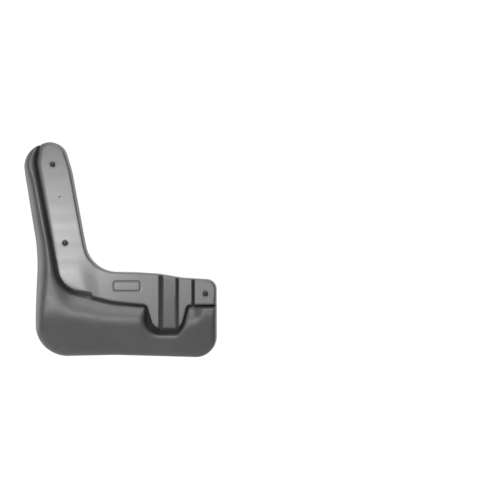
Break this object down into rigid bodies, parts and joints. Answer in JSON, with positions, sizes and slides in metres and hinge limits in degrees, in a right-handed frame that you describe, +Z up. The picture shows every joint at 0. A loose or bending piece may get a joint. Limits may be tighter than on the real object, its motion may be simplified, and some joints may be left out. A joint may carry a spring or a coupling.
{
  "type": "mud flap",
  "caption": "Moulded L-shaped splash guard for a car wheel arch: grooved flange with screwed fixings, pleated tab, bulged body and skirt.",
  "frame": {"origin": "axis of the middle fixing, in the seating plane of the three fixing bosses, where the arch's lip holds the guard", "axes": "+Z up along the leg as installed, +X across the guard towards its tab, -Y out of the visible outer face"},
  "size_m": [0.2984, 0.0401, 0.3347],
  "materials": {
    "moulded_plastic": "satin moulded black",
    "black_steel": "black zinc",
    "zinc_steel": "bright zinc"
  },
  "bodies": {
    "guard": {"splash_guard_shell": "moulded_plastic", "spring_nut_top": "zinc_steel", "spring_nut_mid": "zinc_steel", "spring_nut_tab": "zinc_steel"},
    "top_washer": {"washer_top": "black_steel"},
    "top_screw": {"screw_top": "black_steel"},
    "mid_washer": {"washer_mid": "black_steel"},
    "mid_screw": {"screw_mid": "black_steel"},
    "tab_washer": {"washer_tab": "black_steel"},
    "tab_screw": {"screw_tab": "black_steel"}
  },
  "joints": [
    {"name": "top_screw_travel", "type": "slide", "parent": "guard", "child": "top_washer", "axis": [0, -1, 0], "range_m": [0, 0.0104]},
    {"name": "top_screw_turn", "type": "hinge", "parent": "top_washer", "child": "top_screw", "pos_m": [-0.0195, -0.012, 0.121], "axis": [0, -1, 0], "range_deg": [0, 2880]},
    {"name": "mid_screw_travel", "type": "slide", "parent": "guard", "child": "mid_washer", "axis": [0, -1, 0], "range_m": [0, 0.0104]},
    {"name": "mid_screw_turn", "type": "hinge", "parent": "mid_washer", "child": "mid_screw", "pos_m": [0, -0.012, 0], "axis": [0, -1, 0], "range_deg": [0, 2880]},
    {"name": "tab_screw_travel", "type": "slide", "parent": "guard", "child": "tab_washer", "axis": [0, -1, 0], "range_m": [0, 0.0104]},
    {"name": "tab_screw_turn", "type": "hinge", "parent": "tab_washer", "child": "tab_screw", "pos_m": [0.216, -0.012, -0.078], "axis": [0, -1, 0], "range_deg": [0, 2880]}
  ],
  "couplings": [
    {"joint": "top_screw_turn", "follows": "top_screw_travel", "rad_per_m": 4833.2},
    {"joint": "mid_screw_turn", "follows": "mid_screw_travel", "rad_per_m": 4833.2},
    {"joint": "tab_screw_turn", "follows": "tab_screw_travel", "rad_per_m": 4833.2}
  ]
}
